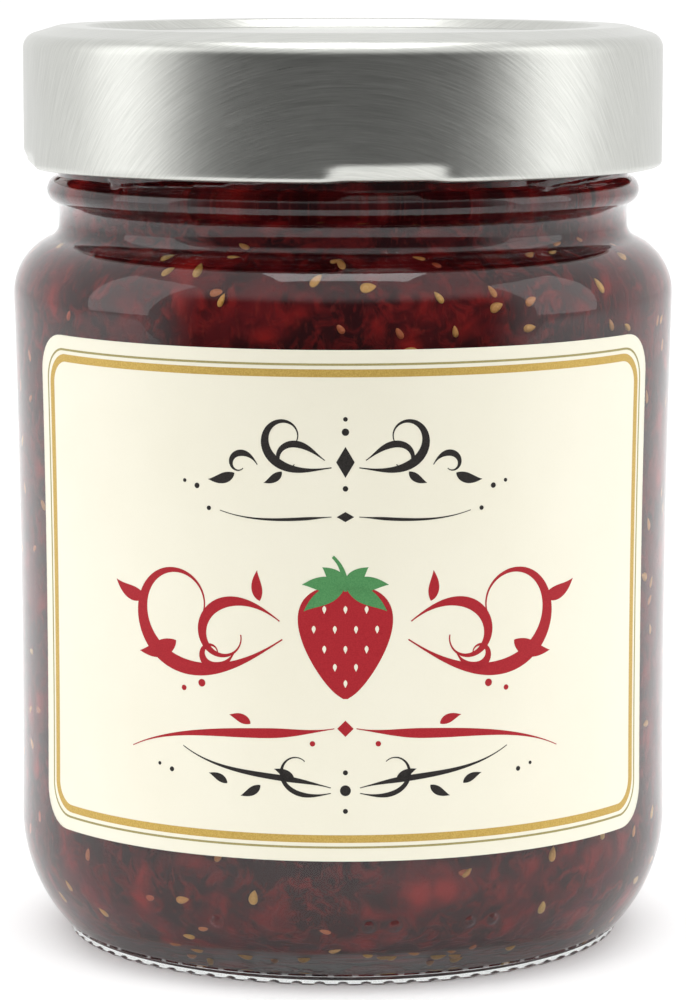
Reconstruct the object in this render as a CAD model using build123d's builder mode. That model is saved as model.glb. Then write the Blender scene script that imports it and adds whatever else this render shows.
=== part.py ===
"""A filled jam jar: moulded glass jar, strawberry jam, twist-off metal lid and paper front label.

Millimetres, +Z up. The origin is the centre of the ring that the jar stands on, and the label faces -Y.
"""

import os
from math import asin, cos, degrees, pi, radians, sin, sqrt, tan

from build123d import *

# Glass jar, outside
jar_height = 105.55
waist_radius = 37.85
waist_height = 35.0
waist_arc = 1600.0
heel_top = 14.0
heel_arc = 19.0
foot_height = 1.2
foot_step = 0.5
foot_edge = 0.35
shoulder_arc = 7.0
shoulder_turn = 64.0
neck_drop = 23.6
neck_radius = 33.05
neck_blend = 1.8
bead_drop = 18.55
bead_reach = 1.35
bead_half_height = 1.6
rim_edge = 1.0

# Glass jar, inside
body_wall = 2.7
neck_wall = 2.75
floor_height = 4.8
floor_corner = 9.0
push_up_rise = 2.0
stand_width = 4.0

# Grip notches round the foot
notch_pitch = 2.68
notch_width = 1.6
notch_depth = 0.25
notch_length = 1.9

# Raised dots of the mould number, low on the front
dot_radius = 0.8
dot_proud = 0.42
dot_height = 7.8
dot_pitch = 4.45
dot_places = (-5, 1, 2, 5, 6)

# Screw thread: four short starts that rise to the right
thread_starts = 4
thread_lead = 16.0
thread_span = 80.0
thread_angle = -51.0
thread_below_lid = 0.3
thread_round = 1.1
thread_stand = 0.2
thread_end_round = 0.8

# Metal lid
lid_sheet = 0.25
lid_height = 16.1
lid_gap = 3.95
lid_corner = 1.8
lid_slope_width = 4.0
lid_slope_fall = 1.2
lid_plug_gap = 0.3
lid_step_width = 1.0
lid_recess = 1.05
lid_bend = 0.6
curl_radius = 0.65
curl_turn = 250.0
lug_angle = 7.6
lug_width = 8.7
lug_lift = 0.05
lug_thread_gap = 0.1
lug_clearance = 0.55
pocket_height = 1.7
pocket_depth = 0.9

# Paper label
label_low_margin = 1.5
label_high_margin = 3.05
label_angle = 125.5
label_turn = 0.4
label_paper = 0.12
label_corner = 4.5

# Filling
head_space = 10.5

front = -90.0  # direction, from +X, of the side that faces -Y
lid_top = jar_height + lid_sheet
lid_radius = neck_radius + lid_gap
lid_bottom = lid_top - lid_height
bore_radius = neck_radius - neck_wall
inner_radius = waist_radius - body_wall


def wall_radius(height):
    """Outer radius of the body, which is drawn in very slightly to a waist."""
    return waist_radius + waist_arc - sqrt(waist_arc**2 - (height - waist_height) ** 2)


def heel_radius(height):
    """Outer radius on the large arc between foot and body."""
    return wall_radius(heel_top) - heel_arc + sqrt(heel_arc**2 - (heel_top - height) ** 2)


def arc_angle(width, radius):
    """Angle, in degrees, that a width measured along a circle takes up."""
    return degrees(width / radius)


def turned(angle):
    """Upright plane through the axis, turned from the front towards +X."""
    return Plane.XZ.rotated((0, 0, front + angle))


def facing(angle, height):
    """Upright plane on the axis that looks outwards at an angle from the front."""
    compass = radians(front + angle)
    return Plane(
        origin=(0, 0, height),
        x_dir=(-sin(compass), cos(compass), 0),
        z_dir=(cos(compass), sin(compass), 0),
    )


# The shoulder runs down from the neck: a straight slope, then an arc that ends upright at the body.
slope = 1 / tan(radians(shoulder_turn))
neck_root = jar_height - neck_drop
shoulder_radius = waist_radius
for _ in range(4):
    slope_outer_radius = shoulder_radius - shoulder_arc * (1 - cos(radians(shoulder_turn)))
    slope_outer_height = neck_root - (slope_outer_radius - neck_radius) * slope
    shoulder_height = slope_outer_height - shoulder_arc * sin(radians(shoulder_turn))
    shoulder_radius = wall_radius(shoulder_height)

# ------------------------------------------------------------ inside of the glass
slope_shift = body_wall / sin(radians(shoulder_turn))
inner_slope_low = neck_root - (inner_radius - neck_radius) * slope - slope_shift
inner_slope_high = neck_root - (bore_radius - neck_radius) * slope - slope_shift

with BuildPart() as cavity:
    with BuildSketch(Plane.XZ):
        with BuildLine():
            FilletPolyline(
                (0, floor_height),
                (inner_radius, floor_height),
                (inner_radius, inner_slope_low),
                (bore_radius, inner_slope_high),
                (bore_radius, jar_height),
                radius=[floor_corner, shoulder_arc - body_wall, neck_blend + body_wall],
            )
            Polyline((bore_radius, jar_height), (0, jar_height), (0, floor_height))
        make_face()
    revolve(axis=Axis.Z)

# ------------------------------------------------------------ one thread
with BuildPart() as thread:
    with BuildSketch(Plane.XZ.rotated((0, 0, -thread_span / 2))):
        with Locations((neck_radius + thread_stand, 0)):
            Circle(thread_round)
    revolve(axis=Axis.Z, revolution_arc=thread_span)
    fillet(thread.edges().filter_by(GeomType.CIRCLE).group_by(SortBy.RADIUS)[0], thread_end_round)

thread_tilt = degrees(asin(thread_lead / (2 * pi * neck_radius)))
thread_start = lid_bottom - thread_below_lid
thread_middle = thread_start + thread_lead * thread_span / 2 / 360

# ------------------------------------------------------------ glass jar
foot_radius = heel_radius(foot_height) - foot_step
stand_radius = foot_radius - stand_width
bead_height = jar_height - bead_drop
notch_round = (notch_width**2 / 4 + notch_depth**2) / (2 * notch_depth)
notch_count = round(2 * pi * foot_radius / notch_pitch)
dot_round = (dot_radius**2 + dot_proud**2) / (2 * dot_proud)
dot_centre = heel_radius(dot_height) - dot_round + dot_proud

with BuildPart() as jar:
    with BuildSketch(Plane.XZ) as jar_outside:
        with BuildLine():
            ThreePointArc(
                (0, push_up_rise),
                (stand_radius / 2, push_up_rise * 0.75),
                (stand_radius, 0),
            )
            Polyline(
                (stand_radius, 0),
                (foot_radius, 0),
                (foot_radius, foot_height),
                (heel_radius(foot_height), foot_height),
            )
            RadiusArc((heel_radius(foot_height), foot_height), (wall_radius(heel_top), heel_top), -heel_arc)
            RadiusArc(
                (wall_radius(heel_top), heel_top),
                (wall_radius(shoulder_height), shoulder_height),
                waist_arc,
            )
            RadiusArc(
                (shoulder_radius, shoulder_height),
                (slope_outer_radius, slope_outer_height),
                -shoulder_arc,
            )
            Polyline(
                (slope_outer_radius, slope_outer_height),
                (neck_radius, neck_root),
                (neck_radius, bead_height - bead_half_height),
            )
            ThreePointArc(
                (neck_radius, bead_height - bead_half_height),
                (neck_radius + bead_reach, bead_height),
                (neck_radius, bead_height + bead_half_height),
            )
            Polyline(
                (neck_radius, bead_height + bead_half_height),
                (neck_radius, jar_height),
                (0, jar_height),
                (0, push_up_rise),
            )
        make_face()
        for corner, rounding in (
            ((foot_radius, 0), foot_edge),
            ((neck_radius, neck_root), neck_blend),
            ((neck_radius, jar_height), rim_edge),
        ):
            fillet(jar_outside.vertices().sort_by_distance(corner)[0], rounding)
    revolve(axis=Axis.Z)
    with PolarLocations(0, thread_starts, start_angle=front + thread_angle + thread_span / 2):
        with Locations(Location((0, 0, thread_middle), (thread_tilt, 0, 0))):
            add(thread.part)
    for place in dot_places:
        with Locations(turned(place * dot_pitch).location * Location((dot_centre, dot_height, 0))):
            Sphere(dot_round)
    add(cavity.part, mode=Mode.SUBTRACT)
    fillet(jar.edges().filter_by(GeomType.CIRCLE).group_by(Axis.Z)[-1].sort_by(SortBy.RADIUS)[0], rim_edge)
    with PolarLocations(foot_radius, notch_count):
        with Locations((0, 0, notch_depth - notch_round)):
            Cylinder(notch_round, 2 * notch_length, rotation=(0, 90, 0), mode=Mode.SUBTRACT)

# ------------------------------------------------------------ jam
with BuildPart() as jam:
    add(cavity.part)
    split(bisect_by=Plane.XY.offset(jar_height - head_space), keep=Keep.BOTTOM)

# ------------------------------------------------------------ metal lid
step_top_radius = bore_radius - lid_plug_gap - lid_sheet
lug_tip_radius = neck_radius + lug_clearance
lug_turn = arc_angle(lug_width, lid_radius)
thread_over_lug = thread_start + thread_lead * (lug_angle - lug_turn / 2 - thread_angle) / 360 - thread_round
lug_top = thread_over_lug - lug_thread_gap

with BuildPart() as lug:
    with BuildSketch(turned(-lug_turn / 2)):
        with BuildLine():
            Polyline(
                (lid_radius, lid_bottom + pocket_height),
                (lid_radius - pocket_depth, lid_bottom + lug_lift),
                (lug_tip_radius, lid_bottom + lug_lift),
                (lug_tip_radius, lug_top),
                (lid_radius - pocket_depth - curl_radius, lug_top),
                (lid_radius - lid_sheet, lid_bottom + pocket_height),
                close=True,
            )
        make_face()
    revolve(axis=Axis.Z, revolution_arc=lug_turn)

with BuildPart() as pocket:
    with BuildSketch(turned(-lug_turn / 2)):
        with BuildLine():
            Polyline(
                (lid_radius, lid_bottom + pocket_height),
                (lid_radius + lid_sheet, lid_bottom + pocket_height),
                (lid_radius + lid_sheet, lid_bottom - lid_sheet),
                (lug_tip_radius, lid_bottom - lid_sheet),
                (lug_tip_radius, lid_bottom + pocket_height),
                close=True,
            )
        make_face()
    revolve(axis=Axis.Z, revolution_arc=lug_turn)

with BuildPart() as lid:
    with BuildSketch(Plane.XZ):
        with BuildLine():
            sheet_line = FilletPolyline(
                (0, lid_top - lid_recess),
                (step_top_radius - lid_step_width, lid_top - lid_recess),
                (step_top_radius, lid_top),
                (lid_radius - lid_slope_width, lid_top),
                (lid_radius, lid_top - lid_slope_fall),
                (lid_radius, lid_bottom + curl_radius),
                radius=[lid_bend, lid_bend, lid_corner, lid_corner],
            )
            curl = JernArc(sheet_line @ 1, sheet_line % 1, curl_radius, -curl_turn)
            offset(amount=lid_sheet, side=Side.RIGHT)
        make_face()
    revolve(axis=Axis.Z)
    with PolarLocations(0, thread_starts, start_angle=lug_angle):
        add(pocket.part, mode=Mode.SUBTRACT)
        add(lug.part)

# ------------------------------------------------------------ paper label
label_low = heel_top + label_low_margin
label_high = shoulder_height - label_high_margin

with BuildPart() as label:
    with BuildSketch(turned(label_turn - label_angle / 2)):
        with BuildLine():
            inner_line = RadiusArc(
                (wall_radius(label_low), label_low),
                (wall_radius(label_high), label_high),
                waist_arc,
            )
            outer_line = RadiusArc(
                (wall_radius(label_low) + label_paper, label_low),
                (wall_radius(label_high) + label_paper, label_high),
                waist_arc,
            )
            Line(inner_line @ 0, outer_line @ 0)
            Line(inner_line @ 1, outer_line @ 1)
        make_face()
    revolve(axis=Axis.Z, revolution_arc=label_angle)
    for side in (-1, 1):
        corner_angle = label_turn + side * (label_angle / 2 - arc_angle(label_corner, waist_radius))
        for end, height in ((-1, label_low + label_corner), (1, label_high - label_corner)):
            with BuildSketch(facing(corner_angle, height)):
                with Locations((side * label_corner, end * label_corner)):
                    Rectangle(2 * label_corner, 2 * label_corner)
                Circle(label_corner, mode=Mode.SUBTRACT)
            extrude(amount=2 * waist_radius, mode=Mode.SUBTRACT)

os.makedirs("parts", exist_ok=True)
for name, piece in {"jar": jar, "jam": jam, "lid": lid, "label": label}.items():
    piece.part.label = name
    export_step(piece.part, f"parts/{name}.step")
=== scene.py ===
"""The looks of a filled jam jar: clear glass, strawberry jam, brushed twist-off lid and printed paper label.

Metres, +Z up, label towards -Y. Every shape is a surface worked out on a grid: mostly a profile
turned round the axis.
"""

import bpy
import numpy as np
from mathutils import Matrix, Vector


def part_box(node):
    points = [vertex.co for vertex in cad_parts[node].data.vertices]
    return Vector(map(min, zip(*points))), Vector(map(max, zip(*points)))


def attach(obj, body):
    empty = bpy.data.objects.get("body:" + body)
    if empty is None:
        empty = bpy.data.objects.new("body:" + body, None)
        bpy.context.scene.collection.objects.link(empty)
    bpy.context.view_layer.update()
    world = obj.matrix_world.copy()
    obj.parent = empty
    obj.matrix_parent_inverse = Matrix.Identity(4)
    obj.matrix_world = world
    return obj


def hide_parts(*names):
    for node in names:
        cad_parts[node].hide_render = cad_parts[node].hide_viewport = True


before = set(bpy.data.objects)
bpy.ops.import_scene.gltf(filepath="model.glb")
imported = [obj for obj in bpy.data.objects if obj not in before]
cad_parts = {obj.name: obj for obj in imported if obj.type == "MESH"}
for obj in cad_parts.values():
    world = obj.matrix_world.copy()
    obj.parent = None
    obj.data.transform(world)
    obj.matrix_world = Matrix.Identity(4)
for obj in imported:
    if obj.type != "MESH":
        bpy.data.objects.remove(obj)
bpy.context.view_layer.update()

MM = 0.001
FRONT = -np.pi / 2  # compass direction of the side that carries the label

# ---------------------------------------------------------------- sizes, in millimetres
jar_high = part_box("jar")[1] / MM
jam_low, jam_high = (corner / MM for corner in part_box("jam"))
lid_low, lid_high = (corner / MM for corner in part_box("lid"))
label_low, label_high = (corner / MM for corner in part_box("label"))

JAR_TOP = jar_high.z
INNER_RADIUS = jam_high.x
FLOOR = jam_low.z
JAM_TOP = jam_high.z
LID_TOP, LID_BOTTOM, LID_RADIUS = lid_high.z, lid_low.z, lid_high.x
LABEL_TOP, LABEL_BOTTOM = label_high.z, label_low.z

BODY_WALL = 2.7
WAIST_RADIUS = INNER_RADIUS + BODY_WALL
WAIST_HEIGHT = 35.0
WAIST_ARC = 1600.0
HEEL_TOP = 14.0
HEEL_ARC = 19.0
FOOT_HEIGHT = 1.2
FOOT_STEP = 0.5
SHOULDER_ARC = 7.0
SHOULDER_TURN = np.radians(64.0)
NECK_ROOT = JAR_TOP - 23.6
NECK_RADIUS = LID_RADIUS - 3.95
NECK_BLEND = 1.8
BEAD_HEIGHT = JAR_TOP - 18.55
BEAD_REACH = 1.35
BEAD_HALF = 1.6
RIM_EDGE = 1.0
RIM_FLAT = 1.3
BORE_RADIUS = NECK_RADIUS - 2.75
FLOOR_CORNER = 9.0
PUSH_UP = 2.0
STAND_WIDTH = 4.0


# ---------------------------------------------------------------- profiles: arrays of (radius, height)
def line(start, end, count=2):
    """Points evenly spaced along a straight run, both ends included."""
    return np.linspace(start, end, count)


def arc(centre, radius, first, last, count):
    """Points on a circle, from the first angle to the last, in degrees."""
    angle = np.radians(np.linspace(first, last, count))
    return np.stack([centre[0] + radius * np.cos(angle), centre[1] + radius * np.sin(angle)], 1)


def rounded(corners, radii, steps=8):
    """A polyline with rounded inner corners: each is swapped for the arc that touches both of its runs."""
    corners = np.asarray(corners, float)
    pieces = [corners[:1]]
    for before, corner, after, radius in zip(corners[:-2], corners[1:-1], corners[2:], radii):
        back = (before - corner) / np.linalg.norm(before - corner)
        ahead = (after - corner) / np.linalg.norm(after - corner)
        half = np.arccos(np.clip(back @ ahead, -1, 1)) / 2
        bisector = (back + ahead) / np.linalg.norm(back + ahead)
        centre = corner + bisector * radius / np.sin(half)
        one = corner + back * radius / np.tan(half) - centre
        two = corner + ahead * radius / np.tan(half) - centre
        share = np.linspace(0, 1, steps)[:, None]
        sweep = np.pi - 2 * half
        blend = (np.sin((1 - share) * sweep) * one + np.sin(share * sweep) * two) / np.sin(sweep)
        pieces.append(centre + blend)
    return np.concatenate([*pieces, corners[-1:]])


def joined(*pieces):
    """Pieces of a profile end to end, without doubled points."""
    path = np.concatenate(pieces)
    keep = np.r_[True, np.linalg.norm(np.diff(path, axis=0), axis=1) > 1e-6]
    return path[keep]


def refined(path, longest):
    """The same profile with points added so that no stretch is longer than a limit."""
    pieces = [
        np.linspace(a, b, max(1, int(np.ceil(np.linalg.norm(b - a) / longest))), endpoint=False)
        for a, b in zip(path[:-1], path[1:])
    ]
    return np.concatenate([*pieces, path[-1:]])


def wall_radius(height):
    """Outer radius of the body, on an arc so large that it only just draws in to a waist."""
    return WAIST_RADIUS + WAIST_ARC - np.sqrt(WAIST_ARC**2 - (height - WAIST_HEIGHT) ** 2)


def heel_radius(height):
    """Outer radius on the large arc between foot and body."""
    return wall_radius(HEEL_TOP) - HEEL_ARC + np.sqrt(HEEL_ARC**2 - (HEEL_TOP - height) ** 2)


FOOT_RADIUS = heel_radius(FOOT_HEIGHT) - FOOT_STEP
STAND_RADIUS = FOOT_RADIUS - STAND_WIDTH
SLOPE = 1 / np.tan(SHOULDER_TURN)


def shoulder():
    """Radius and height where the shoulder's arc starts at the body and where it ends at the slope."""
    body = WAIST_RADIUS
    for _ in range(4):
        end_radius = body - SHOULDER_ARC * (1 - np.cos(SHOULDER_TURN))
        end_height = NECK_ROOT - (end_radius - NECK_RADIUS) * SLOPE
        start = end_height - SHOULDER_ARC * np.sin(SHOULDER_TURN)
        body = wall_radius(start)
    return body, start, end_radius, end_height


SHOULDER_RADIUS, SHOULDER_START, SLOPE_RADIUS, SLOPE_HEIGHT = shoulder()


def outside_profile():
    """From the middle of the base, over stand, heel, body, shoulder, neck and bead, to the rim's flat."""
    push = np.linspace(0, STAND_RADIUS, 10)
    heights = np.r_[
        np.linspace(FOOT_HEIGHT, 6.4, 9), np.linspace(6.6, 9.0, 13), np.linspace(9.4, HEEL_TOP, 9)
    ]
    body = np.linspace(HEEL_TOP, SHOULDER_START, 20)
    neck = rounded(
        [(SLOPE_RADIUS, SLOPE_HEIGHT), (NECK_RADIUS, NECK_ROOT), (NECK_RADIUS, BEAD_HEIGHT - BEAD_HALF)],
        [NECK_BLEND],
    )
    bead_round = (BEAD_HALF**2 + BEAD_REACH**2) / (2 * BEAD_REACH)
    bead_turn = np.degrees(np.arcsin(BEAD_HALF / bead_round))
    return joined(
        np.stack([push, PUSH_UP * (1 - (push / STAND_RADIUS) ** 2)], 1),
        refined(rounded([(STAND_RADIUS, 0), (FOOT_RADIUS, 0), (FOOT_RADIUS, FOOT_HEIGHT)], [0.35]), 0.5),
        np.stack([heel_radius(heights), heights], 1),
        np.stack([wall_radius(body), body], 1),
        arc((SHOULDER_RADIUS - SHOULDER_ARC, SHOULDER_START), SHOULDER_ARC, 0, 64, 16),
        neck,
        arc((NECK_RADIUS + BEAD_REACH - bead_round, BEAD_HEIGHT), bead_round, -bead_turn, bead_turn, 13),
        line((NECK_RADIUS, BEAD_HEIGHT + BEAD_HALF), (NECK_RADIUS, JAR_TOP - 9.5), 24),
        rounded(
            [(NECK_RADIUS, JAR_TOP - 9.5), (NECK_RADIUS, JAR_TOP), (NECK_RADIUS - RIM_FLAT, JAR_TOP)],
            [RIM_EDGE], 6,
        ),
    )


def inside_profile(grow=0.0, top=None):
    """From the middle of the floor, up wall and inner shoulder, to the rim, moved outwards by grow."""
    shift = (BODY_WALL - grow) / np.sin(SHOULDER_TURN)
    wall, bore, floor = INNER_RADIUS + grow, BORE_RADIUS + grow, FLOOR - grow
    low = NECK_ROOT - (wall - NECK_RADIUS) * SLOPE - shift
    high = NECK_ROOT - (bore - NECK_RADIUS) * SLOPE - shift
    corners = [(0, floor), (wall, floor), (wall, low), (bore, high), (bore, JAR_TOP if top is None else top)]
    return rounded(corners, [FLOOR_CORNER, SHOULDER_ARC - BODY_WALL, NECK_BLEND + BODY_WALL], 14)


def glass_profile():
    """The section of the glass, from the middle of the base round the rim to the middle of the floor."""
    inside = inside_profile()[::-1]
    corners = [(NECK_RADIUS - RIM_FLAT, JAR_TOP), (BORE_RADIUS, JAR_TOP), (BORE_RADIUS, JAR_TOP - 3)]
    rim = rounded(corners, [RIM_EDGE], 6)
    return joined(outside_profile(), rim, refined(inside[1:], 6.0))


# ---------------------------------------------------------------- surfaces
def add_piece(name, vertices, faces, finish, slot, replaces=(), uv=None, smooth=True):
    """Makes a mesh from arrays in millimetres, gives it its finish and lets it ride on the part."""
    mesh = bpy.data.meshes.new(name)
    mesh.from_pydata((np.asarray(vertices) * MM).tolist(), [], [list(face) for face in faces])
    mesh.polygons.foreach_set("use_smooth", np.full(len(mesh.polygons), smooth))
    if uv is not None:
        loops = np.empty(len(mesh.loops), np.int32)
        mesh.loops.foreach_get("vertex_index", loops)
        mesh.uv_layers.new(name="flat").data.foreach_set("uv", np.asarray(uv, np.float32)[loops].ravel())
    mesh.materials.append(finish)
    piece = bpy.data.objects.new(name, mesh)
    bpy.context.scene.collection.objects.link(piece)
    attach(piece, "root")
    if replaces:
        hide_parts(*replaces)
    return piece


def turned(radius, height, angles):
    """Points of a surface of revolution: (radius cos angle, radius sin angle, height), a column an angle."""
    x = radius * np.cos(angles)
    y = radius * np.sin(angles)
    return np.stack([x, y, np.broadcast_to(height, x.shape)], -1)


def turned_faces(rows, columns):
    """Quads between neighbouring rows, closed round the axis, with a fan of triangles at each pole."""
    row, column = np.meshgrid(np.arange(rows - 1), np.arange(columns), indexing="ij")
    after = (column + 1) % columns
    quads = np.stack([row * columns + column, row * columns + after,
                      (row + 1) * columns + after, (row + 1) * columns + column], -1).reshape(-1, 4)
    ring = np.arange(columns)
    low, high = rows * columns, rows * columns + 1
    last = (rows - 1) * columns
    first_fan = np.stack([np.full(columns, low), (ring + 1) % columns, ring], 1)
    last_fan = np.stack([np.full(columns, high), last + ring, last + (ring + 1) % columns], 1)
    return quads.tolist() + first_fan.tolist() + last_fan.tolist()


def turned_solid(profile, angles, change=None):
    """A closed solid of revolution, from a profile that starts and ends on the axis. change may move
    (radius, height)."""
    inner = profile[1:-1]
    radius = np.repeat(inner[:, :1], len(angles), 1)
    height = np.repeat(inner[:, 1:], len(angles), 1)
    if change:
        radius, height = change(radius, height, angles)
    points = turned(radius, height, angles).reshape(-1, 3)
    poles = [(0, 0, profile[0, 1]), (0, 0, profile[-1, 1])]
    return np.concatenate([points, poles]), turned_faces(len(inner), len(angles))


# ---------------------------------------------------------------- glass relief
NOTCH_PITCH = 2.68
NOTCH_WIDTH = 1.6
NOTCH_DEPTH = 0.25
NOTCH_LENGTH = 1.9
DOT_RADIUS = 0.8
DOT_PROUD = 0.42
DOT_HEIGHT = 7.8
DOT_ANGLES = 4.45 * np.array([-5, 1, 2, 5, 6])
THREAD_LEAD = 16.0
THREAD_SPAN = 80.0
THREAD_ANGLE = -51.0
THREAD_BELOW_LID = 0.3
THREAD_ROUND = 1.1
THREAD_STAND = 0.2


def glass_relief(radius, height, angles):
    """Adds the threads, mould dots and grip notches to the plain turned glass."""
    degrees = np.degrees(angles - FRONT)
    outside = np.cumsum(height[:, 0] >= JAR_TOP - 1e-6)[:, None] == 0
    for start in range(4):
        along = (degrees - THREAD_ANGLE - 90 * start) % 360
        middle = LID_BOTTOM - THREAD_BELOW_LID + THREAD_LEAD * along / 360
        end = np.minimum(along, THREAD_SPAN - along) * np.radians(NECK_RADIUS)
        size = THREAD_ROUND * np.sqrt(np.clip(1 - np.clip(1 - end / THREAD_ROUND, 0, 1) ** 2, 0, 1))
        ridge = np.sqrt(np.clip(size**2 - (height - middle) ** 2, 0, None))
        add = np.where((ridge > 0) & (along < THREAD_SPAN), ridge + THREAD_STAND * size / THREAD_ROUND, 0)
        radius = radius + np.where(outside & (height > BEAD_HEIGHT), add, 0)
    dot_round = (DOT_RADIUS**2 + DOT_PROUD**2) / (2 * DOT_PROUD)
    for place in DOT_ANGLES:
        across = np.radians(degrees - place) * heel_radius(DOT_HEIGHT)
        up = (height - DOT_HEIGHT) / np.cos(np.arcsin((HEEL_TOP - DOT_HEIGHT) / HEEL_ARC))
        cap = np.sqrt(np.clip(dot_round**2 - across**2 - up**2, 0, None)) - dot_round + DOT_PROUD
        radius = radius + np.where(outside & (height > 3) & (height < HEEL_TOP), np.clip(cap, 0, None), 0)
    count = round(2 * np.pi * FOOT_RADIUS / NOTCH_PITCH)
    notch_round = (NOTCH_WIDTH**2 / 4 + NOTCH_DEPTH**2) / (2 * NOTCH_DEPTH)
    step = 360 / count
    across = np.radians((degrees + step / 2) % step - step / 2) * FOOT_RADIUS
    notch = NOTCH_DEPTH - notch_round + np.sqrt(np.clip(notch_round**2 - across**2, 0, None))
    low = outside & (radius > FOOT_RADIUS - NOTCH_LENGTH) & (height < FOOT_HEIGHT)
    height = np.where(low, np.maximum(height, notch), height)
    return radius, height


def crowded_angles(spread, fine, coarse):
    """Directions right round the jar: finely spaced within spread degrees of the front, coarser elsewhere."""
    near = np.linspace(-spread, spread, int(2 * spread / fine) + 1)
    rest = np.linspace(spread, 360 - spread, int((360 - 2 * spread) / coarse) + 1)[1:-1]
    return np.radians(np.r_[near, rest]) + FRONT


# ---------------------------------------------------------------- finishes
class Wire:
    """One output socket of a finish. Arithmetic with wires and numbers adds Math nodes."""

    def __init__(self, finish, socket):
        self.finish, self.socket = finish, socket

    def maths(self, operation, *values):
        return self.finish.add("ShaderNodeMath", {"operation": operation}, dict(enumerate(values)))

    def __add__(self, other):
        return self.maths("ADD", self, other)

    def __radd__(self, other):
        return self.maths("ADD", other, self)

    def __sub__(self, other):
        return self.maths("SUBTRACT", self, other)

    def __rsub__(self, other):
        return self.maths("SUBTRACT", other, self)

    def __mul__(self, other):
        return self.maths("MULTIPLY", self, other)

    def __rmul__(self, other):
        return self.maths("MULTIPLY", other, self)

    def __truediv__(self, other):
        return self.maths("DIVIDE", self, other)

    def __pow__(self, other):
        return self.maths("POWER", self, other)

    def size(self):
        return self.maths("ABSOLUTE", self)

    def ramp(self, low, high, low_value=0.0, high_value=1.0):
        """A smooth step between two values."""
        settings = {"interpolation_type": "SMOOTHSTEP", "clamp": True}
        values = {"Value": self, "From Min": low, "From Max": high, "To Min": low_value, "To Max": high_value}
        return self.finish.add("ShaderNodeMapRange", settings, values)


class Nodes:
    """A node tree under construction: add() is the one way in for any node."""

    def __init__(self, tree):
        self.tree = tree

    def set(self, node, values):
        for key, value in values.items():
            if isinstance(value, Wire):
                self.tree.links.new(value.socket, node.inputs[key])
            elif isinstance(value, tuple) and len(value) == 3 and node.inputs[key].type == "RGBA":
                node.inputs[key].default_value = (*value, 1.0)
            else:
                node.inputs[key].default_value = value

    def add(self, kind, settings=None, values=None, output=0):
        node = self.tree.nodes.new(kind)
        for key, value in (settings or {}).items():
            setattr(node, key, value)
        self.set(node, values or {})
        return Wire(self, node.outputs[output])


class Finish(Nodes):
    """A material under construction."""

    def __init__(self, name):
        self.material = bpy.data.materials.new(name)
        self.material.use_nodes = True
        super().__init__(self.material.node_tree)
        self.shader = self.tree.nodes["Principled BSDF"]
        self.output = self.tree.nodes["Material Output"]

    def place(self, scale=(1.0, 1.0, 1.0)):
        """Object coordinates in millimetres, stretched by scale."""
        where = self.add("ShaderNodeTexCoord", output="Object")
        grow = tuple(1 / MM * s for s in scale)
        return self.add("ShaderNodeVectorMath", {"operation": "MULTIPLY"}, {0: where, 1: grow})

    def flat(self, scale=(1.0, 1.0, 1.0)):
        """The piece's own flat map, in millimetres, stretched by scale."""
        where = self.add("ShaderNodeUVMap", {"uv_map": "flat"})
        return self.add("ShaderNodeVectorMath", {"operation": "MULTIPLY"}, {0: where, 1: scale})

    def noise(self, vector, scale, detail=2.0, roughness=0.5, distortion=0.0):
        values = {"Vector": vector, "Scale": scale, "Detail": detail}
        values.update({"Roughness": roughness, "Distortion": distortion})
        return self.add("ShaderNodeTexNoise", {}, values)

    def cells(self, vector, scale, feature="F1", output=0):
        values = {"Vector": vector, "Scale": scale}
        return self.add("ShaderNodeTexVoronoi", {"feature": feature}, values, output)

    def mix(self, factor, one, two, blend="MIX"):
        """A mix of two colours, by a factor."""
        settings = {"data_type": "RGBA", "blend_type": blend}
        return self.add("ShaderNodeMix", settings, {0: factor, 6: one, 7: two}, 2)

    def bump(self, height, distance, strength=1.0, normal=None):
        values = {"Height": height, "Distance": distance * MM, "Strength": strength}
        if normal:
            values["Normal"] = normal
        return self.add("ShaderNodeBump", {}, values)

    def done(self, **surface):
        self.set(self.shader, surface)
        return self.material


def let_light_in(finish, tint=(1.0, 1.0, 1.0)):
    """Lets shadow rays straight through a clear finish, so that what lies behind it is lit evenly."""
    clear = finish.add("ShaderNodeBsdfTransparent", {}, {"Color": tint})
    shadow = finish.add("ShaderNodeLightPath", output="Is Shadow Ray")
    surface = Wire(finish, finish.shader.outputs[0])
    both = finish.add("ShaderNodeMixShader", {}, {0: shadow, 1: surface, 2: clear})
    finish.tree.links.new(both.socket, finish.output.inputs["Surface"])


def glass_finish():
    """Clear moulded glass: faint long waves in the surface and a trace of handling marks."""
    finish = Finish("clear_glass")
    waves = finish.noise(finish.place(), 0.035, 2.0)
    fine = finish.noise(finish.place(), 0.9, 3.0)
    marks = finish.noise(finish.place(), 0.12, 4.0).ramp(0.52, 0.75, 0.0, 0.035)
    normal = finish.bump(waves + fine * 0.01, 0.35, 0.5)
    finish.done(
        **{"Base Color": (0.985, 0.995, 0.99), "Roughness": marks, "IOR": 1.5,
           "Transmission Weight": 1.0, "Normal": normal}
    )
    let_light_in(finish, (0.96, 0.97, 0.965))
    return finish.material


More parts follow.
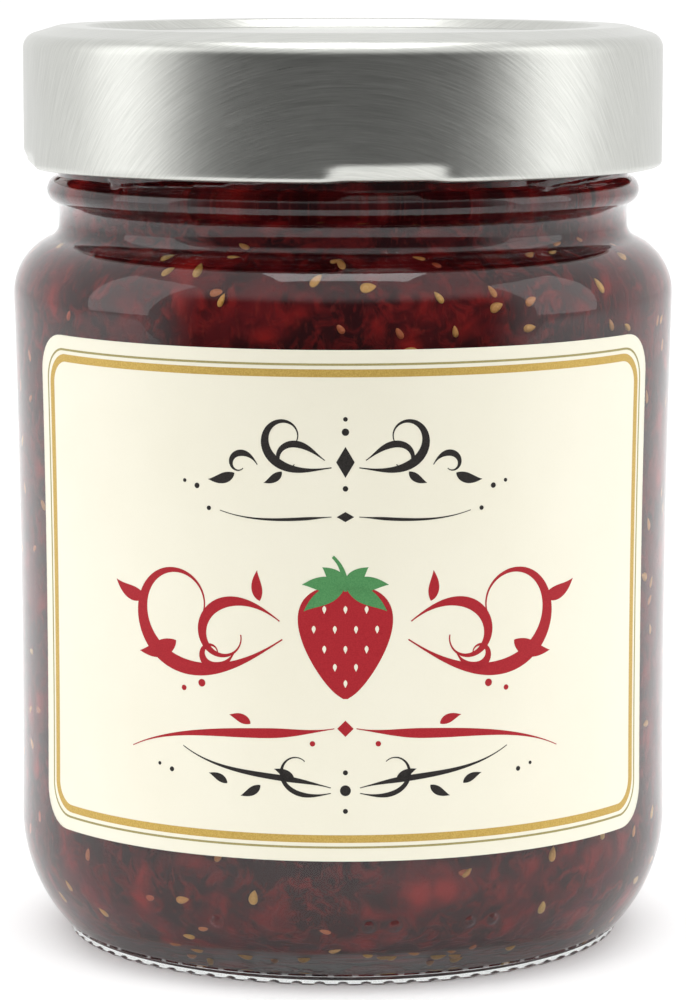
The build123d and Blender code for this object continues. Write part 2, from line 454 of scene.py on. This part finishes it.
def jam_finish():
    """Set red fruit: dark gel with lighter, redder pulp in soft patches and fine fibres, and bright red
    blotches of painted glow, light shining through the jam painted into its colour.
    """
    finish = Finish("strawberry_jam")
    place = finish.place()
    patches = finish.noise(place, 0.16, 3.0, 0.55, 0.6).ramp(0.42, 0.66)
    pulp = finish.noise(place, 0.45, 4.0, 0.6, 0.8).ramp(0.45, 0.7)
    fibres = finish.noise(finish.place((1.0, 1.0, 0.35)), 2.2, 3.0).ramp(0.55, 0.75)
    # painted glow: bright red blotches that paint light shining through the translucent jam into its colour
    glow = finish.cells(place, 0.22).ramp(0.55, 0.05) * patches
    dark = finish.mix(patches, (0.028, 0.0015, 0.0025), (0.10, 0.004, 0.006))
    red = finish.mix(pulp * 0.75, dark, (0.20, 0.009, 0.009))
    # the jam's colour with the painted glow mixed in
    bright = finish.mix(glow * 0.6, red, (0.42, 0.016, 0.012))
    colour = finish.mix(fibres * 0.25, bright, (0.30, 0.03, 0.02))
    normal = finish.bump(pulp + fibres * 0.3, 0.25, 0.5)
    return finish.done(
        **{"Base Color": colour, "Roughness": 0.35, "IOR": 1.12, "Normal": normal}
    )


def lid_finish():
    """Bright tinplate brushed one way before it was drawn: long fine strokes, lying level at the front."""
    finish = Finish("brushed_tinplate")
    strokes = finish.noise(finish.flat((0.12, 5.0, 1.0)), 1.0, 3.0, 0.6)
    fine = finish.noise(finish.flat((0.5, 14.0, 1.0)), 1.0, 3.0, 0.65)
    clouds = finish.noise(finish.flat(), 0.06, 2.0)
    lines = strokes * 0.6 + fine * 0.4
    colour = finish.mix(lines.ramp(0.3, 0.7), (0.43, 0.435, 0.41), (0.56, 0.565, 0.535))
    return finish.done(
        **{"Base Color": colour, "Metallic": 1.0, "Roughness": lines * 0.16 + clouds * 0.06 + 0.2,
           "Normal": finish.bump(lines, 0.05, 0.35)}
    )


def paper_finish():
    """Satin cream label paper with a fine felt."""
    finish = Finish("label_paper")
    place = finish.place()
    felt = finish.noise(place, 6.0, 3.0)
    blush = finish.noise(place, 0.08, 2.0)
    colour = finish.mix(felt * 0.3 + blush * 0.7, (0.79, 0.755, 0.61), (0.86, 0.83, 0.70))
    return finish.done(
        **{"Base Color": colour, "Roughness": felt * 0.1 + 0.42, "Normal": finish.bump(felt, 0.02, 0.4)}
    )


def ink_finish(name, colour, other, metallic=0.0, roughness=0.5):
    """Printed ink: a flat tone with a fine uneven grain."""
    finish = Finish(name)
    grain = finish.noise(finish.place(), 7.0, 3.0)
    tone = finish.mix(grain.ramp(0.3, 0.7), colour, other)
    return finish.done(
        **{"Base Color": tone, "Metallic": metallic, "Roughness": grain * 0.15 + roughness,
           "Specular IOR Level": 0.2, "Normal": finish.bump(grain, 0.01, 0.3)}
    )


def seed_finish():
    """Fruit seeds, amber to olive, tinted by how deep each lies in the gel."""
    finish = Finish("fruit_seeds")
    shade = finish.add("ShaderNodeAttribute", {"attribute_name": "shade"}, output="Fac")
    sunk = finish.add("ShaderNodeAttribute", {"attribute_name": "sunk"}, output="Fac")
    pits = finish.noise(finish.place(), 5.0, 3.0)
    amber = finish.mix(shade, (0.62, 0.30, 0.05), (0.42, 0.27, 0.07))
    pale = finish.mix(pits.ramp(0.35, 0.7) * 0.6, amber, (0.74, 0.46, 0.14))
    colour = finish.mix(sunk, pale, (0.38, 0.02, 0.012))
    return finish.done(
        **{"Base Color": colour, "Roughness": pits * 0.2 + 0.3, "Normal": finish.bump(pits, 0.06, 0.6)}
    )


# ---------------------------------------------------------------- glass jar and jam
glass = add_piece(
    "glass_jar",
    *turned_solid(glass_profile(), crowded_angles(32, 0.45, 1.1), glass_relief),
    glass_finish(), "glass", ["jar"],
)

JAM_INTO_WALL = 0.05


def jam_profile():
    """The space inside the glass, grown just into the wall, closed by a gently uneven top."""
    side = inside_profile(JAM_INTO_WALL)
    side = side[side[:, 1] < JAM_TOP - 0.8]
    edge = side[-1, 0]
    top = np.linspace(edge - 0.5, 0, 14)
    level = np.stack([top, JAM_TOP - 0.1 * (top / edge) ** 2], 1)
    return joined(refined(side, 4.0), [(edge, JAM_TOP - 0.8)], level)


jam = add_piece(
    "jam_fill", *turned_solid(jam_profile(), crowded_angles(0, 1, 2.0)), jam_finish(), "jam", ["jam"]
)


# ---------------------------------------------------------------- seeds
def scatter(count, random):
    """Places all over the jam's outside, evenly spread by area: radius, height, compass angle and slope."""
    side = inside_profile(JAM_INTO_WALL)
    side = refined(side[side[:, 1] < JAM_TOP - 1.5], 0.5)
    middle = (side[1:] + side[:-1]) / 2
    step = np.diff(side, axis=0)
    area = np.linalg.norm(step, axis=1) * middle[:, 0]
    pick = random.choice(len(middle), count, p=area / area.sum())
    along = step[pick] / np.linalg.norm(step[pick], axis=1)[:, None]
    return middle[pick, 0], middle[pick, 1], random.uniform(0, 2 * np.pi, count), along


def seed_shape(rings=7, sides=10):
    """A unit seed: an egg with a pointed end, its radius sin(t) thinned towards the tip, lying along x."""
    t = np.linspace(0, np.pi, rings + 2)[1:-1]
    turn = np.linspace(0, 2 * np.pi, sides, endpoint=False)
    girth = np.sin(t) * (1 - 0.28 * np.cos(t))
    x = np.repeat(np.cos(t)[:, None], sides, 1)
    y = girth[:, None] * np.cos(turn)
    z = girth[:, None] * np.sin(turn)
    points = np.concatenate([np.stack([x, y, z], -1).reshape(-1, 3), [(1.12, 0, 0), (-1, 0, 0)]])
    return points, turned_faces(rings, sides)


def scattered(name, shape, places, sizes, spin, proud, finish, **attributes):
    """Copies of one small shape against the glass: each is scaled, spun in the wall's plane, set proud."""
    points, faces = shape
    radius, height, angle, along = places
    count = len(radius)
    tangent = np.stack([-np.sin(angle), np.cos(angle), np.zeros(count)], 1)
    rise = np.stack([along[:, 0] * np.cos(angle), along[:, 0] * np.sin(angle), along[:, 1]], 1)
    outward = np.cross(tangent, rise)
    centre = np.stack([radius * np.cos(angle), radius * np.sin(angle), height], 1) + outward * proud[:, None]
    long_axis = tangent * np.cos(spin)[:, None] + rise * np.sin(spin)[:, None]
    wide_axis = np.cross(outward, long_axis)
    axes = np.stack([long_axis, wide_axis, outward], 1)
    local = points[None] * sizes[:, None, :]
    vertices = centre[:, None] + np.einsum("nvk,nkc->nvc", local, axes)
    grid = np.arange(count)[:, None] * len(points)
    quads = np.array([f for f in faces if len(f) == 4])
    triangles = np.array([f for f in faces if len(f) == 3])
    all_faces = (grid[:, :, None] + quads[None]).reshape(-1, 4).tolist()
    all_faces += (grid[:, :, None] + triangles[None]).reshape(-1, 3).tolist()
    piece = add_piece(name, vertices.reshape(-1, 3), all_faces, finish, "jam")
    for key, values in attributes.items():
        layer = piece.data.attributes.new(key, "FLOAT", "POINT")
        layer.data.foreach_set("value", np.repeat(values, len(points)).astype(np.float32))
    return piece


random = np.random.default_rng(11)
SEEDS = 430
seed_length = random.uniform(0.62, 0.85, SEEDS)
seed_sizes = np.stack([seed_length, seed_length * random.uniform(0.5, 0.62, SEEDS), np.full(SEEDS, 0.32)], 1)
sunk = random.beta(0.9, 1.6, SEEDS)
seeds = scattered(
    "fruit_seeds", seed_shape(), scatter(SEEDS, random), seed_sizes,
    random.uniform(0, np.pi, SEEDS), 0.02 - 0.2 * sunk, seed_finish(),
    shade=random.uniform(0, 1, SEEDS), sunk=0.9 * sunk,
)

# ---------------------------------------------------------------- lid
LID_SHEET = 0.25
LID_CORNER = 1.8
LID_SLOPE_WIDTH = 4.0
LID_SLOPE_FALL = 1.2
LID_STEP_TOP = BORE_RADIUS - 0.3 - LID_SHEET
LID_STEP_WIDTH = 1.0
LID_RECESS = 1.05
LID_BEND = 0.6
CURL_RADIUS = 0.65
LUG_ANGLE = 7.6
LUG_REACH = 2.2
POCKET_HEIGHT = 1.75
POCKET_DEPTH = 0.85


def lid_profile():
    """The formed sheet: from the middle along its inside to the curl, and back over its outside."""
    corners = [
        (0, LID_TOP - LID_RECESS), (LID_STEP_TOP - LID_STEP_WIDTH, LID_TOP - LID_RECESS),
        (LID_STEP_TOP, LID_TOP),
        (LID_RADIUS - LID_SLOPE_WIDTH, LID_TOP), (LID_RADIUS, LID_TOP - LID_SLOPE_FALL),
        (LID_RADIUS, LID_BOTTOM + CURL_RADIUS),
    ]
    outside = rounded(corners, [LID_BEND, LID_BEND, LID_CORNER, LID_CORNER], 9)
    outside = np.concatenate([refined(outside[:-1], 1.2), refined(outside[-2:], 0.45)[1:]])
    curl_middle = (LID_RADIUS - CURL_RADIUS, LID_BOTTOM + CURL_RADIUS)
    curl = arc(curl_middle, CURL_RADIUS, 0, -235, 16)
    inside = np.array([
        (LID_RADIUS - LID_SHEET, LID_BOTTOM + 2.2 * CURL_RADIUS),
        (LID_RADIUS - LID_SHEET, LID_TOP - LID_SLOPE_FALL - 1.6),
        (LID_RADIUS - LID_SLOPE_WIDTH, LID_TOP - LID_SHEET),
        (LID_STEP_TOP + LID_SHEET, LID_TOP - LID_SHEET),
        (LID_STEP_TOP - LID_STEP_WIDTH + LID_SHEET, LID_TOP - LID_RECESS - LID_SHEET),
        (0, LID_TOP - LID_RECESS - LID_SHEET),
    ])
    return joined(outside, curl, inside)[::-1]


def window(degrees, half, soft):
    """1 within half degrees of a lug, falling smoothly to 0 over the next soft degrees."""
    away = np.abs((degrees - LUG_ANGLE + 45) % 90 - 45)
    share = np.clip((half + soft - away) / soft, 0, 1)
    return share * share * (3 - 2 * share)


def lid_relief(radius, height, angles):
    """Presses the four pockets into the skirt's edge and draws the curl in to a lug behind each."""
    degrees = np.degrees(angles - FRONT)
    up = height - LID_BOTTOM
    pressed = np.clip((POCKET_HEIGHT - up) / POCKET_HEIGHT, 0, 1) ** 0.8
    radius = radius - POCKET_DEPTH * pressed * window(degrees, 6.9, 5.0)
    curled = (radius < LID_RADIUS - 1.1) & (up < 2.2 * CURL_RADIUS)
    radius = radius - np.where(curled, LUG_REACH * window(degrees, 6.5, 2.0), 0)
    return radius, height


def lid_flat_map(profile, angles):
    """Where each point lay on the flat sheet before drawing: its distance along the section, in its
    own direction."""
    inner = profile[1:-1]
    steps = np.linalg.norm(np.diff(profile, axis=0), axis=1)
    from_start = np.cumsum(steps)[:-1]
    from_end = steps.sum() - from_start
    distance = np.minimum(from_start, from_end)[:, None]
    compass = angles - FRONT
    u, v = distance * np.sin(compass), -distance * np.cos(compass)
    return np.concatenate([np.stack([u, v], -1).reshape(-1, 2), [(0, 0), (0, 0)]])


lid_section = lid_profile()
lid_angles = crowded_angles(0, 1, 1.0)
lid = add_piece(
    "tinplate_lid", *turned_solid(lid_section, lid_angles, lid_relief), lid_finish(), "lid", ["lid"],
    uv=lid_flat_map(lid_section, lid_angles),
)

# ---------------------------------------------------------------- label
LABEL_ANGLE = 125.5
LABEL_TURN = 0.4
LABEL_PAPER = 0.12
LABEL_CORNER = 4.5
LABEL_HEIGHT = LABEL_TOP - LABEL_BOTTOM
LABEL_MIDDLE = (LABEL_TOP + LABEL_BOTTOM) / 2
LABEL_HALF = np.radians(LABEL_ANGLE / 2) * WAIST_RADIUS


def on_label(across, up, proud):
    """A point on the label: across is measured round the glass, and up along it, from its middle."""
    height = LABEL_MIDDLE + up
    angle = FRONT + np.radians(LABEL_TURN) + across / WAIST_RADIUS
    radius = wall_radius(height) + proud
    height = np.broadcast_to(height, radius.shape)
    return np.stack([radius * np.cos(angle), radius * np.sin(angle), height], -1)


def rounded_box(half_width, half_height, corner, turn):
    """Points of a rounded rectangle's edge, anticlockwise, for turn from 0 to 2 pi: a corner a quarter."""
    quarter = np.floor(turn / (np.pi / 2)) % 4
    side_x = np.where((quarter == 0) | (quarter == 3), 1, -1)
    side_y = np.where(quarter < 2, 1, -1)
    x = side_x * (half_width - corner) + corner * np.cos(turn)
    y = side_y * (half_height - corner) + corner * np.sin(turn)
    return x, y


def quarters(steps):
    """Turns for a rounded box, with both ends of each quarter, just inside it."""
    return np.concatenate([np.linspace(k, k + 1, steps) * (1 - 2e-6) + 1e-6 for k in range(4)]) * np.pi / 2


def half_width(up, half_height, corner):
    """Half the sheet's width at a height: full, less what the rounded corner takes."""
    into = np.clip(np.abs(up) - (half_height - corner), 0, corner)
    return LABEL_HALF - corner + np.sqrt(corner**2 - into**2)


def label_mesh(columns=72, back=-0.02):
    """A grid over the sheet's front, row by row from the bottom, wrapped round to its back to close it."""
    half_height = LABEL_HEIGHT / 2
    quarter = np.sin(np.radians(np.linspace(90, 0, 10)))
    low = -half_height + LABEL_CORNER * (1 - quarter)
    up = np.r_[low, np.linspace(low[-1], -low[-1], 26)[1:-1], -low[::-1]]
    share = np.linspace(-1, 1, columns)
    across = half_width(up, half_height, LABEL_CORNER)[:, None] * np.r_[share, share[::-1]]
    proud = np.r_[np.full(columns, LABEL_PAPER), np.full(columns, back)]
    points = on_label(across, np.broadcast_to(up[:, None], across.shape), proud)
    rows, ring = across.shape
    row, column = np.meshgrid(np.arange(rows - 1), np.arange(ring), indexing="ij")
    after = (column + 1) % ring
    around = np.stack([row * ring + column, row * ring + after, (row + 1) * ring + after,
                       (row + 1) * ring + column], -1).reshape(-1, 4)
    j = np.arange(columns - 1)
    ends = [np.stack([first + ring - 1 - j, first + ring - 2 - j, first + j + 1, first + j], 1)
            for first in (0, (rows - 1) * ring)]
    return points.reshape(-1, 3), around.tolist() + ends[0].tolist() + ends[1][:, ::-1].tolist()


label = add_piece("paper_label", *label_mesh(), paper_finish(), "label", ["label"])


def ribbon(name, paths, finish, proud=0.015, closed=False, across=3):
    """Ink strokes: each path is (x, y, half width) along its middle, laid on the label as a thin strip."""
    vertices, faces, start = [], [], 0
    share = np.linspace(1, -1, across)
    side = np.r_[share, share[::-1]]
    lift = LABEL_PAPER + np.r_[np.full(across, proud), np.full(across, -0.02)]
    ring = len(side)
    for x, y, half in paths:
        points = np.stack([x, y], 1)
        if closed:
            ahead = np.roll(points, -1, 0) - np.roll(points, 1, 0)
        else:
            ahead = np.gradient(points, axis=0)
        ahead /= np.linalg.norm(ahead, axis=1)[:, None]
        normal = np.stack([-ahead[:, 1], ahead[:, 0]], 1) * half[:, None]
        spread = points[:, None] + normal[:, None] * side[:, None]
        vertices.append(on_label(spread[..., 0], spread[..., 1], lift).reshape(-1, 3))
        count = len(x)
        step = np.arange(count if closed else count - 1)[:, None]
        after, column = (step + 1) % count, np.arange(ring)
        other = (column + 1) % ring
        here, there = step * ring, after * ring
        quads = np.stack([here + column, there + column, there + other, here + other], -1)
        faces += (quads.reshape(-1, 4) + start).tolist()
        if not closed:
            j = np.arange(across - 1)
            cap = np.stack([j, j + 1, ring - 2 - j, ring - 1 - j], 1)
            faces += (cap + start).tolist() + (cap[:, ::-1] + start + ring * (count - 1)).tolist()
        start += ring * count
    return add_piece(name, np.concatenate(vertices), faces, finish, "label", smooth=False)


def border(inset, width, steps=12):
    """A closed line that follows the label's edge, inset by a distance."""
    corner = LABEL_CORNER - inset * 0.55
    x, y = rounded_box(LABEL_HALF - inset, LABEL_HEIGHT / 2 - inset, corner, quarters(steps))
    edge = refined(np.stack([np.r_[x, x[0]], np.r_[y, y[0]]], 1), 1.0)[:-1]
    return edge[:, 0], edge[:, 1], np.full(len(edge), width / 2)


gold = ink_finish("gold_ink", (0.46, 0.30, 0.065), (0.58, 0.40, 0.11), 0.25, 0.38)
olive = ink_finish("olive_ink", (0.30, 0.26, 0.10), (0.38, 0.33, 0.14))
ribbon("gold_border", [border(2.5, 0.85)], gold, closed=True)
ribbon("fine_border", [border(1.55, 0.24)], olive, closed=True)

# ---------------------------------------------------------------- printed ornaments
def swash(start, heading, length, bend, unbend=0.0, width=0.5, thin=0.08, heavy=0.5, steps=60):
    """A pen stroke along an Euler spiral: its heading turns by bend, in degrees, and by unbend more at a
    rate that grows along it. Its half width swells from thin to width and back, heaviest at the share
    heavy of its length."""
    t = np.linspace(0, 1, steps)
    turn = np.radians(heading + bend * t + unbend * t**2)
    dx = np.cos(turn) * length / (steps - 1)
    dy = np.sin(turn) * length / (steps - 1)
    x = start[0] + np.r_[0, np.cumsum((dx[1:] + dx[:-1]) / 2)]
    y = start[1] + np.r_[0, np.cumsum((dy[1:] + dy[:-1]) / 2)]
    swell = np.where(t < heavy, t / heavy, (1 - t) / (1 - heavy))
    half = (thin + (width - thin) * np.sin(swell * np.pi / 2) ** 2) / 2
    return x, y, half


def leaf(base, heading, length, width, bend=25.0, steps=24):
    """A pointed leaf: a short bent stroke whose half width follows a skewed sine, to a point at both ends."""
    x, y, _ = swash(base, heading, length, bend, steps=steps)
    t = np.linspace(0, 1, steps)
    return x, y, np.maximum(width / 2 * np.sin(np.pi * t**0.75), 0.02)


def spot(middle, size, steps=13):
    """A round dot: a straight stroke whose half width follows a circle."""
    t = np.linspace(-1, 1, steps) * 0.985
    return middle[0] + t * size / 2, np.full(steps, float(middle[1])), size / 2 * np.sqrt(1 - t**2)


def lozenge(middle, width, height, steps=7):
    t = np.linspace(-1, 1, steps) * 0.97
    return middle[0] + t * width / 2, np.full(steps, float(middle[1])), height / 2 * (1 - np.abs(t))


def both_sides(strokes):
    """The strokes and their mirror images across the label's middle line."""
    return strokes + [(-x, y, half) for x, y, half in strokes]


def berry(middle, width, height, steps=40):
    """A strawberry's outline as one fat upright stroke: half width from a broad shoulder to a blunt tip."""
    t = np.linspace(0, 1, steps)
    s = np.clip(t, 0.004, 0.996)
    half = width / 2 * (np.sin(np.pi * s**0.62)) ** 0.62 * (1 - 0.12 * s)
    return np.full(steps, float(middle[0])), middle[1] + height * (0.5 - t), half


def top_scrolls():
    """Two black scrolls that meet at a lozenge, over a fine rule."""
    sides = both_sides([
        swash((1.5, 15.4), -8, 15.5, -20, 330, 1.0, 0.12, 0.42),
        swash((2.2, 16.2), 35, 9.0, 60, -330, 0.75, 0.1, 0.4),
        swash((9.6, 15.6), 60, 6.0, -80, -210, 0.7, 0.1, 0.4),
        leaf((12.2, 14.6), -35, 3.2, 1.15, 40),
        leaf((6.9, 14.9), -50, 2.4, 0.9, 35),
        spot((16.6, 13.0), 0.6),
        spot((18.1, 13.5), 0.42),
        swash((1.5, 10.0), -4, 12.5, -8, 30, 0.36, 0.08, 0.25),
        spot((15.2, 10.6), 0.5),
    ])
    middle = [lozenge((0, 16.0), 2.0, 3.4), spot((0, 19.3), 0.8), spot((0, 20.7), 0.5), spot((0, 13.1), 0.6)]
    return sides + middle + [lozenge((0, 10.0), 1.9, 1.1)]


def red_scrolls():
    """The large red scrolls either side of the berry, and the long swashes under it."""
    sides = both_sides([
        swash((6.9, -3.6), -34, 35.0, 24, 300, 1.7, 0.16, 0.40, 120),
        swash((7.2, -1.6), 38, 19.0, -60, -260, 1.25, 0.14, 0.42, 90),
        swash((12.3, -5.2), -60, 8.5, 60, 290, 0.95, 0.12, 0.38),
        leaf((19.4, -4.4), -38, 5.2, 1.9, 40),
        leaf((23.4, 0.2), -5, 4.6, 1.6, 50),
        leaf((9.4, 0.6), 70, 3.4, 1.2, 30),
        spot((16.2, -8.9), 0.85),
        spot((18.4, -9.6), 0.6),
        swash((1.2, -13.4), -10, 24.5, 44, -60, 1.1, 0.1, 0.3, 80),
        leaf((10.5, -13.1), 35, 2.6, 1.0, -30),
        spot((3.6, -15.1), 0.6),
    ])
    return sides + [lozenge((0, -13.4), 1.8, 1.8)]


def berry_leaves():
    """Three leaves to each side of the berry's top, and its stalk."""
    fan = ((-14, 5.0, -30), (24, 4.6, -35), (62, 3.4, -30))
    leaves = both_sides([leaf((0.2, 2.0), heading, length, 1.75, bend) for heading, length, bend in fan])
    return leaves + [swash((0, 1.8), 88, 4.2, 30, 20, 0.6, 0.35, 0.3)]


def berry_pips():
    """Rows of pips over the berry, each row centred."""
    rows = ((0.2, 3), (-2.0, 4), (-4.2, 3), (-6.2, 2), (-8.0, 1))
    spots = [((k - (count - 1) / 2) * 2.3, up) for up, count in rows for k in range(count)]
    return [leaf(spot, -90, 0.85, 0.42, 0, 10) for spot in spots]


def low_divider():
    """Two black sprigs that spread from a dot."""
    sides = both_sides([
        swash((1.6, -20.0), 16, 17.5, -50, 66, 0.66, 0.1, 0.3, 80),
        swash((1.6, -20.6), -12, 10.5, 10, 230, 0.55, 0.1, 0.35, 80),
        leaf((5.6, -19.3), 45, 2.6, 0.95, -30),
        leaf((9.4, -19.9), -45, 2.6, 0.95, 30),
        leaf((13.2, -19.9), 40, 2.4, 0.85, -30),
        spot((20.0, -18.9), 0.55),
        spot((21.6, -18.4), 0.4),
    ])
    return sides + [spot((0, -20.3), 1.2), spot((0, -22.6), 0.55), spot((0, -18.3), 0.55)]


black = ink_finish("black_ink", (0.014, 0.012, 0.011), (0.028, 0.024, 0.022))
red = ink_finish("red_ink", (0.33, 0.010, 0.018), (0.40, 0.018, 0.026))
green = ink_finish("green_ink", (0.06, 0.22, 0.075), (0.09, 0.28, 0.10))
cream = ink_finish("cream_ink", (0.79, 0.75, 0.60), (0.85, 0.81, 0.68))
ribbon("black_scrolls", top_scrolls() + low_divider(), black)
ribbon("red_scrolls", red_scrolls(), red)
ribbon("red_berry", [berry((0, -3.8), 10.8, 12.6)], red, across=15)
ribbon("berry_leaves", berry_leaves(), green, 0.022)
ribbon("berry_pips", berry_pips(), cream, 0.022)

# ---------------------------------------------------------------- stage, light and camera
def stage():
    """A pale floor that runs far back and ends a little way in front."""
    mesh = bpy.data.meshes.new("floor")
    mesh.from_pydata([(-5, -0.25, 0), (5, -0.25, 0), (5, 8, 0), (-5, 8, 0)], [], [(0, 1, 2, 3)])
    floor = bpy.data.objects.new("floor", mesh)
    bpy.context.scene.collection.objects.link(floor)
    finish = Finish("pale_floor")
    speck = finish.noise(finish.place(), 0.4, 3.0)
    tone = finish.mix(speck, (0.90, 0.90, 0.90), (0.93, 0.93, 0.93))
    glow = {"Emission Color": (1.0, 1.0, 1.0), "Emission Strength": 0.12}
    floor.data.materials.append(finish.done(**{"Base Color": tone, "Roughness": 0.9, **glow}))


def area_light(name, place, aim, size, power, colour=(1.0, 1.0, 1.0)):
    """A softbox: a flat light of some width and height, turned to face a point."""
    light = bpy.data.lights.new(name, "AREA")
    light.shape = "RECTANGLE"
    light.size, light.size_y = size
    light.energy = power
    light.color = colour
    lamp = bpy.data.objects.new(name, light)
    bpy.context.scene.collection.objects.link(lamp)
    lamp.location = place
    lamp.rotation_euler = (Vector(aim) - Vector(place)).to_track_quat("-Z", "Y").to_euler()
    return lamp


def surroundings():
    """White all round, with a dark gap on the side that the label faces, as between two screens."""
    world = bpy.data.worlds.new("studio")
    bpy.context.scene.world = world
    world.use_nodes = True
    finish = Nodes(world.node_tree)
    way = finish.add("ShaderNodeTexCoord", output="Generated")
    parts = {axis: finish.add("ShaderNodeSeparateXYZ", {}, {0: way}, axis) for axis in range(3)}
    level = (parts[0] * parts[0] + parts[1] * parts[1] + 1e-4) ** 0.5
    facing = (parts[1] * -1.0) / level
    gap = facing.ramp(0.34, 0.66) * parts[2].ramp(0.66, 0.40)
    camera = finish.add("ShaderNodeLightPath", output="Is Camera Ray")
    strength = (1.0 - gap) * 1.15 + gap * 0.10
    shown = strength * (1.0 - camera) + camera * 1.0
    back = world.node_tree.nodes["Background"]
    back.inputs["Color"].default_value = (1.0, 1.0, 1.0, 1.0)
    world.node_tree.links.new(shown.socket, back.inputs["Strength"])


stage()
surroundings()
area_light("overhead", (0.0, -0.02, 0.75), (0, 0, 0.08), (0.4, 0.5), 2.2)
area_light("left_screen", (-0.7, -0.1, 0.35), (0, 0, 0.06), (0.4, 0.7), 1.0)
area_light("right_screen", (0.7, -0.1, 0.35), (0, 0, 0.06), (0.4, 0.7), 1.0)
fill = area_light("front_fill", (0.0, -1.2, 0.5), (0, 0, 0.06), (0.9, 0.9), 2.0)
fill.visible_glossy = False
fill.visible_transmission = False

camera_data = bpy.data.cameras.new("camera")
camera_data.sensor_width = 36.0
camera_data.lens = 149.9
camera_data.clip_start, camera_data.clip_end = 0.01, 50.0
camera = bpy.data.objects.new("camera", camera_data)
bpy.context.scene.collection.objects.link(camera)
camera.location = (0.0, -0.48518, 0.11875)
camera.rotation_euler = (np.radians(90 - 8.04), 0, 0)
bpy.context.scene.camera = camera
bpy.context.scene.view_settings.view_transform = "Standard"
